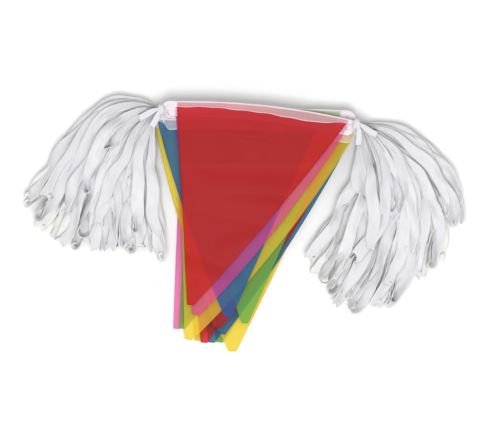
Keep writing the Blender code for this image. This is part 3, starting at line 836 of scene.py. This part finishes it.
LIT_FROM = 1.0  # heights between which a ribbon's painted light changes, from the low colour to the high one
LIT_OVER = 17.0


def reach_at(bunch, u):
    """Full reach of a bunch at a share of its fan."""
    return float(np.interp(u * (len(bunch.reach) - 1), range(len(bunch.reach)), bunch.reach))


def heading(bunch, u, radius):
    """Direction in radians, seen from the fan's middle, at some distance."""
    share = np.clip(radius / max(bunch.reach), 0.0, 1.0)
    turned = 1.0 - (1.0 - share) ** bunch.bend
    root = bunch.root[0] + (bunch.root[1] - bunch.root[0]) * u
    end = bunch.end[0] + (bunch.end[1] - bunch.end[0]) * u
    return np.radians(root + (end - root) * turned)


def fan_places(bunch, u, radius):
    """Places of the fan seen from above."""
    angle = heading(bunch, u, radius)
    ahead = np.stack((np.cos(angle), np.sin(angle)), axis=-1)
    return np.array(bunch.fan) + ahead * radius[..., None]


def lower_loops():
    """Loops of the two lower shells with their heights, evenly spread with some unevenness."""
    for shell in range(SHELLS - 1):
        for number in range(LOOPS):
            u = (number + 0.5 + 0.2 * (shell - 1)) / LOOPS
            shortfall = SHORTER[(number * 3 + shell * 5) % len(SHORTER)]
            sway = math.sin(2.3 * number + 1.9 * shell)
            opening = 5.0 + 3.0 * sway
            loop = Loop(u - 0.05 * sway, u, u + 0.06 * sway, 1.0 - shortfall, opening, 1, 0)
            yield loop, LOW_LEVEL + shell * LOW_STEP, ROOT_LEVEL + shell * ROOT_SHELL_RISE


def zigzag(value):
    """Sharp wave between 0 and 1."""
    return 2.0 * np.abs(value - np.floor(value + 0.5))


def run_places(bunch, loop, start, runs, last, phase):
    """One run of a loop seen from above, straying from its start at the tie to the loop's tip."""
    share = smooth(runs / last) ** loop.late
    u = start + (loop.tip - start) * share
    places = fan_places(bunch, u, runs)
    beside = unit(fan_places(bunch, u + 0.01, runs) - fan_places(bunch, u - 0.01, runs))
    free = (smooth((runs - STRAY_FROM) / STRAY_EASE)
            * smooth((last + STRAY_PAST - runs) / STRAY_EASE))
    stray = 3.4 * np.sin(runs / 21.0 + phase) + 1.7 * np.sin(runs / 9.5 + 2.3 * phase)
    return places + beside * (stray * free)[:, None]


def last_part(runs, start):
    """Smooth step over the part of a run that follows some share of it."""
    last = runs[-1]
    return smooth((runs - start * last) / ((1.0 - start) * last))


def loop_line(bunch, loop, level, root, phase):
    """Middle line of a loop from the tie and back, its radii and the lean of its ribbon."""
    turn_side = 1.0 if loop.out <= loop.back else -1.0
    turn_radius = math.hypot(loop.opening, FOLD_RISE) / 2.0
    last = reach_at(bunch, min(max(loop.tip, 0.0), 1.0)) * loop.reach - turn_radius
    runs = np.linspace(0.0, last, int(last / LOOP_SPACING))
    out = run_places(bunch, loop, loop.out, runs, last, phase)
    back = run_places(bunch, loop, loop.back, runs, last, phase + 2.1)
    tip = (out[-1] + back[-1]) / 2.0
    middle = fan_places(bunch, loop.tip, np.array((last - 6.0, last)))
    ahead = (middle[1] - middle[0]) + 0.5 * ((out[-1] - out[-3]) + (back[-1] - back[-3]))
    ahead /= np.linalg.norm(ahead)
    beside = np.array((ahead[1], -ahead[0])) * turn_side
    near_tip = last_part(runs, 0.45)[:, None]
    for run, sign in ((out, 1.0), (back, -1.0)):
        goal = tip + beside * sign * loop.opening / 2.0
        run += (goal - run[-1]) * near_tip
    angle = np.linspace(0.0, math.pi, 13)[1:-1, None]
    turn = (tip + beside * np.cos(angle) * loop.opening / 2.0
            + ahead * np.sin(angle) * turn_radius)
    spread = smooth((runs - SPREAD_FROM) / SPREAD_OVER)
    lean_end = math.atan2(loop.opening, FOLD_RISE)
    stand = RIBBON / 2.0 * math.sin(lean_end) + 0.5
    settle = last_part(runs, 0.5)
    lower = root + (level - root) * spread + 1.3 * spread * np.sin(runs / 15.0 + 1.3 * phase)
    lower = lower + (max(level - 2.5, stand) - lower) * settle
    rise = ROOT_LOOP_RISE + (FOLD_RISE - ROOT_LOOP_RISE) * spread
    turn_heights = lower[-1] + rise[-1] / 2.0 * (1.0 - np.cos(angle[:, 0]))
    places = np.concatenate((out, turn, back[::-1]))
    heights = np.concatenate((lower, turn_heights, (lower + rise)[::-1]))
    radii = np.concatenate((runs, np.full(len(turn), last), runs[::-1]))
    lean_run = lean_end * last_part(runs, 0.62)
    lean = np.concatenate((lean_run, np.full(len(turn), lean_end), lean_run[::-1]))
    return np.column_stack((places, heights)), radii, lean * turn_side


def ribbon_axes(centre, near_fold, lean, slant):
    """Unit vectors across a ribbon and square to its face, at each point of its middle line."""
    course = unit(np.gradient(centre, axis=0))
    level = course * np.array((1.0, 1.0, 0.0))
    half = len(course) // 2
    level[half:] *= -1.0
    side = unit(np.cross(UP, level))
    ahead = unit(level[half - 8])
    fold = np.cross(UP, ahead) * math.cos(slant) + ahead * math.sin(slant)
    side = unit(side + (fold - side) * near_fold[:, None])
    across = side * np.cos(lean)[:, None] + UP * np.sin(lean)[:, None]
    across = unit(across - course * np.sum(across * course, axis=1)[:, None])
    return across, np.cross(course, across)


def crumpled(length, across, phase):
    """Height of a crumpled ribbon's face; across runs from -0.5 to 0.5."""
    creases = 1.5 * zigzag(length / 27.0 + 0.45 * across + phase)
    creases = creases * zigzag(length / 41.0 - 0.7 * across + 2.0 * phase)
    edge_folds = 0.9 * zigzag(length / 17.0 - 1.1 * across + 3.0 * phase) * (across + 0.5)
    curl = 0.9 * np.sin(2.0 * math.pi * (0.8 * across + length / 74.0 + phase))
    ruffle = 0.6 * (2.0 * across) ** 2 * np.sin(length / 7.3 + 4.0 * phase + 3.0 * across)
    return creases + edge_folds + curl + ruffle


def add_loop(sheets, bunch, loop, level, root, number):
    """One ribbon loop: pleated at the tie, crumpled along its runs, turning over at its end."""
    phase = 1.7 * number + (0.4 if bunch.side > 0 else 0.0)
    centre, radii, lean = loop_line(bunch, loop, level, root, phase)
    pull = (1.0 - smooth(radii / ROOT_PULL))[:, None]
    centre[:, :2] += (np.array(bunch.neck) - centre[:, :2]) * pull
    length = running_length(centre)
    near_fold = smooth((FOLD_REACH - np.abs(length - length[-1] / 2.0)) / FOLD_EASE)
    free = smooth((radii - FREE_FROM) / FREE_OVER)
    loose = free * (1.0 - near_fold)
    pinch = 1.0 - FOLD_PINCH * (0.5 + 0.5 * math.sin(2.3 * phase)) * near_fold
    rock = 0.38 * np.sin(length / 23.0 + 2.9 * phase) + 0.2 * np.sin(length / 10.5 + phase)
    twist = loop.twist * math.pi * smooth((length - TWIST_FROM * length[-1]) / TWIST_LENGTH)
    across, normal = ribbon_axes(centre, near_fold, lean + rock * free + twist,
                                 FOLD_SLANT * math.sin(3.1 * phase))
    space = abs(heading(bunch, 1.0, radii) - heading(bunch, 0.0, radii)) * radii / LOOPS
    chord = np.clip(RIBBON_FILL * space * 1.2, ROOT_CHORD, RIBBON * 0.985) * pinch
    spare = np.sqrt(RIBBON ** 2 - chord ** 2) / RIBBON_CELLS
    q = np.linspace(-0.5, 0.5, RIBBON_CELLS + 1)[None, :]
    pleat = np.where(np.arange(RIBBON_CELLS + 1) % 2 == 0, 0.5, -0.5)[None, :]
    lift = spare[:, None] * pleat + loose[:, None] * crumpled(length[:, None], q, phase)
    points = (centre[:, None] + across[:, None] * (q[..., None] * chord[:, None, None])
              + normal[:, None] * lift[..., None])
    points[..., 2] = np.maximum(points[..., 2], TAPE_SHEET / 2.0 + FLOOR_CLEARANCE)
    # painted light by height: lighter and warmer low down, darker and cooler high up
    lit = smooth((points[..., 2] - LIT_FROM) / LIT_OVER)[..., None]
    tint = 1.0 + 0.035 * math.sin(5.0 * phase)
    surface_colour = np.array(RIBBON_DEEP_PAINTED_LIGHT) + (np.array(RIBBON_LIT) * tint - np.array(RIBBON_DEEP_PAINTED_LIGHT)) * lit
    flats = np.stack(np.broadcast_arrays(length[:, None] + 40.0 * number, q * RIBBON), axis=-1)
    sheets.add(points, TAPE_SHEET, surface_colour, surface_colour, flats)
    return length[-1]


def make_bunch(bunch, material, shift):
    """All loops of one bunch in one mesh, and the length of tape in them."""
    sheets = Sheets()
    loops = list(lower_loops())
    top = [Loop(*row) for row in TOP_LOOPS[bunch.name]]
    for order, loop in enumerate(top):
        share = (order + TOP_ROOT_SKIP) / (len(top) + TOP_ROOT_SKIP)
        loops.append((loop, TOP_LEVEL + order * TOP_STEP, ROOT_LEVEL + share * TOP_ROOT_RISE))
    total = sum(add_loop(sheets, bunch, *loop, number) for number, loop in enumerate(loops))
    return sheets.make("ribbon_loops_" + bunch.name, material, shift), total


# -------- ties

TieEnd = namedtuple("TieEnd", "heading length width")
TIE_ENDS = {
    "left": (TieEnd(238, 22, 7.0), TieEnd(199, 27, 7.0)),
    "right": (TieEnd(277, 24, 7.0), TieEnd(335, 26, 7.0)),
}
KNOT_SIZE = (4.0, 5.5, 3.2)
KNOT_CLEAR = 1.3  # the knot's middle stands this far above the waist's upper face
KNOT_STAND = 0.7  # and this share of its half height
KNOT_SHEET = 0.5
BAND_SHEET = 0.6
BAND_WIDTH = 3.4
BAND_OUT = 0.8
BAND_SQUARE = 0.6  # 1 would be an oval band, 0 a rectangular one
TieBand = namedtuple("TieBand", "along out slant")
TIE_BANDS = (TieBand(-1.3, BAND_OUT, 0.5), TieBand(1.3, BAND_OUT + 0.3, -0.7))
TIE_CELLS = np.linspace(-0.5, 0.5, 7)


def squared(wave):
    """A wave with flatter tops, which makes a circle a rounded square."""
    return np.sign(wave) * np.abs(wave) ** BAND_SQUARE


def band_points(bunch, band):
    """A band wound once round the waist, its width creased."""
    turn = np.linspace(0.0, 2.0 * math.pi, 57)[:, None]
    bulge = 0.25 * np.sin(TIE_CELLS * 9.0 + 2.0 * turn)
    half_width = WAIST_HALF_WIDTH + GAP + band.out + bulge
    half_height = (WAIST_TOP - WAIST_BOTTOM) / 2.0 + GAP + band.out + bulge
    x = bunch.neck[0] + band.along + TIE_CELLS * BAND_WIDTH + band.slant * np.sin(turn)
    y = bunch.neck[1] + half_width * squared(np.cos(turn))
    z = (WAIST_BOTTOM + WAIST_TOP) / 2.0 + half_height * squared(np.sin(turn))
    return np.stack((x, y, z), axis=-1)


def knot_points(bunch, height):
    """The knot: a lump of drawn tape with twisted creases."""
    polar = np.linspace(0.04, math.pi - 0.04, 25)
    turn = np.linspace(0.0, 2.0 * math.pi, 49)
    theta, phi = np.meshgrid(polar, turn, indexing="ij")
    crease = 1.0 + 0.10 * np.sin(5.0 * phi + 2.6 * theta) * np.sin(theta)
    x = KNOT_SIZE[0] * crease * np.sin(theta) * np.cos(phi)
    y = KNOT_SIZE[1] * crease * np.cos(theta)
    z = KNOT_SIZE[2] * crease * np.sin(theta) * np.sin(phi)
    return np.stack((x + bunch.neck[0], y + bunch.neck[1], z + height), axis=-1)


def tie_end_points(bunch, end, height):
    """A free end of the tie: a creased strip that leaves the knot and dips a little."""
    angle = math.radians(end.heading)
    ahead = np.array((math.cos(angle), math.sin(angle), 0.0))
    side = np.array((-math.sin(angle), math.cos(angle), 0.0))
    share = np.linspace(0.0, 1.0, 18)[:, None]
    rise = 1.4 * np.sin(math.pi * share) - share ** 2
    curve = 1.5 * np.sin(math.pi * share + end.heading)
    width = end.width * (0.35 + 0.65 * smooth(share / 0.5))
    fold = 0.9 * (1.0 - 0.6 * share) * np.abs(np.sin(TIE_CELLS * 5.0 + share))
    start = np.array((*bunch.neck, height))
    middle = start + ahead * end.length * share + side * curve + UP * rise
    return middle[:, None] + side * (TIE_CELLS * width)[..., None] + UP * fold[..., None]


def make_tie(bunch, material, shift):
    """Two bands, the knot and its free ends in one mesh."""
    height = WAIST_TOP + GAP + KNOT_CLEAR + KNOT_SIZE[2] * KNOT_STAND
    parts = [(band_points(bunch, band), BAND_SHEET) for band in TIE_BANDS]
    parts.append((knot_points(bunch, height), KNOT_SHEET))
    parts += [(tie_end_points(bunch, end, height), KNOT_SHEET) for end in TIE_ENDS[bunch.name]]
    white = np.array(RIBBON_LIT)
    sheets = Sheets()
    for points, thickness in parts:
        along, across = np.indices(points.shape[:2])
        sheets.add(points, thickness, white, white, np.stack((along * 1.5, across * 1.2), axis=-1))
    return sheets.make("knotted_tie_" + bunch.name, material, shift)


# -------- stage, light and camera

PHOTO_WIDTH = 500
MM_PER_PIXEL = 1.16
VIEW_CENTRE = (7.4, 2.3)  # the photograph's middle in the tables' millimetres
SENSOR = 36.0
CAMERA_HEIGHT = 1.8  # this and what follows is in metres
FLOOR_HALF = 3.0
WORLD_STRENGTH = 0.55
# Name, place, size and power of each light
LIGHTS = (
    ("overhead", (0.0, -0.6, 2.15), 0.8, 28.5),
    ("key", (-0.5, 0.5, 1.5), 0.9, 2.5),
    ("fill", (0.5, -0.9, 1.4), 1.4, 3.0),
)


def make_stage():
    """A plain pale floor."""
    mesh = bpy.data.meshes.new("floor")
    corners = [(-1, -1), (1, -1), (1, 1), (-1, 1)]
    mesh.from_pydata([(x * FLOOR_HALF, y * FLOOR_HALF, 0) for x, y in corners], [], [(0, 1, 2, 3)])
    mesh.materials.append(floor_material())
    floor = new_object("floor", mesh)


def make_lights():
    """Soft studio light, most of it from above the pennants' tips."""
    world = bpy.data.worlds.new("studio")
    world.use_nodes = True
    background = world.node_tree.nodes["Background"]
    background.inputs["Color"].default_value = (1.0, 1.0, 1.0, 1.0)
    background.inputs["Strength"].default_value = WORLD_STRENGTH
    bpy.context.scene.world = world
    for name, place, size, power in LIGHTS:
        light = bpy.data.lights.new(name, "AREA")
        light.size = size
        light.energy = power
        obj = new_object(name, light)
        obj.location = place
        obj.rotation_euler = (-Vector(place)).to_track_quat("-Z", "Y").to_euler()


def make_camera(shift):
    """Straight above, as in the photograph."""
    data = bpy.data.cameras.new("camera")
    data.sensor_width = SENSOR
    data.lens = SENSOR * CAMERA_HEIGHT / (PHOTO_WIDTH * MM_PER_PIXEL * MM)
    camera = new_object("camera", data)
    camera.location = (*((np.array(VIEW_CENTRE) + shift[:2]) * MM), CAMERA_HEIGHT)
    bpy.context.scene.camera = camera
    bpy.context.scene.view_settings.view_transform = "Standard"


# -------- the whole bunting

def frame_shift():
    """From the tables' middle to the frame's, in millimetres, read off two of its nodes."""
    tape_low, tape_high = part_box("binding_01")
    cloth_low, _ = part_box("pennant_01")
    left_bunch, right_bunch = BUNCHES
    tape_middle_x = (root_face(left_bunch) + root_face(right_bunch)) / 2.0
    return np.array(((tape_low[0] + tape_high[0]) / 2.0 / MM - tape_middle_x,
                     cloth_low[1] / MM - cut_tip(PENNANTS[0])[:, 1].min(), 0.0))


def main():
    """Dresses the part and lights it."""
    shift = frame_shift()
    nylon = {name: woven("nylon_" + name, NYLON) for name in DYES}
    tape = woven("white_tape", WOVEN_TAPE)
    thread = woven("white_thread", SEWING_THREAD)
    for index, row in enumerate(PENNANTS):
        cloth = make_pennant(index, nylon[row.colour], shift)
        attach(cloth, "root")
        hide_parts(f"pennant_{index + 1:02d}")
    tapes = []
    for index in range(COUNT):
        binding, points = make_tape(index, tape, shift)
        tapes.append(points)
        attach(binding, "root")
        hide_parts(f"binding_{index + 1:02d}")
    stitches = make_stitches(tapes, shift, thread)
    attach(stitches, "root")
    for bunch in BUNCHES:
        loops, length = make_bunch(bunch, tape, shift)
        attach(loops, "root")
        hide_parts("bunch_" + bunch.name)
        tie = make_tie(bunch, tape, shift)
        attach(tie, "root")
        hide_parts("tie_" + bunch.name)
    make_stage()
    make_lights()
    make_camera(shift)


main()
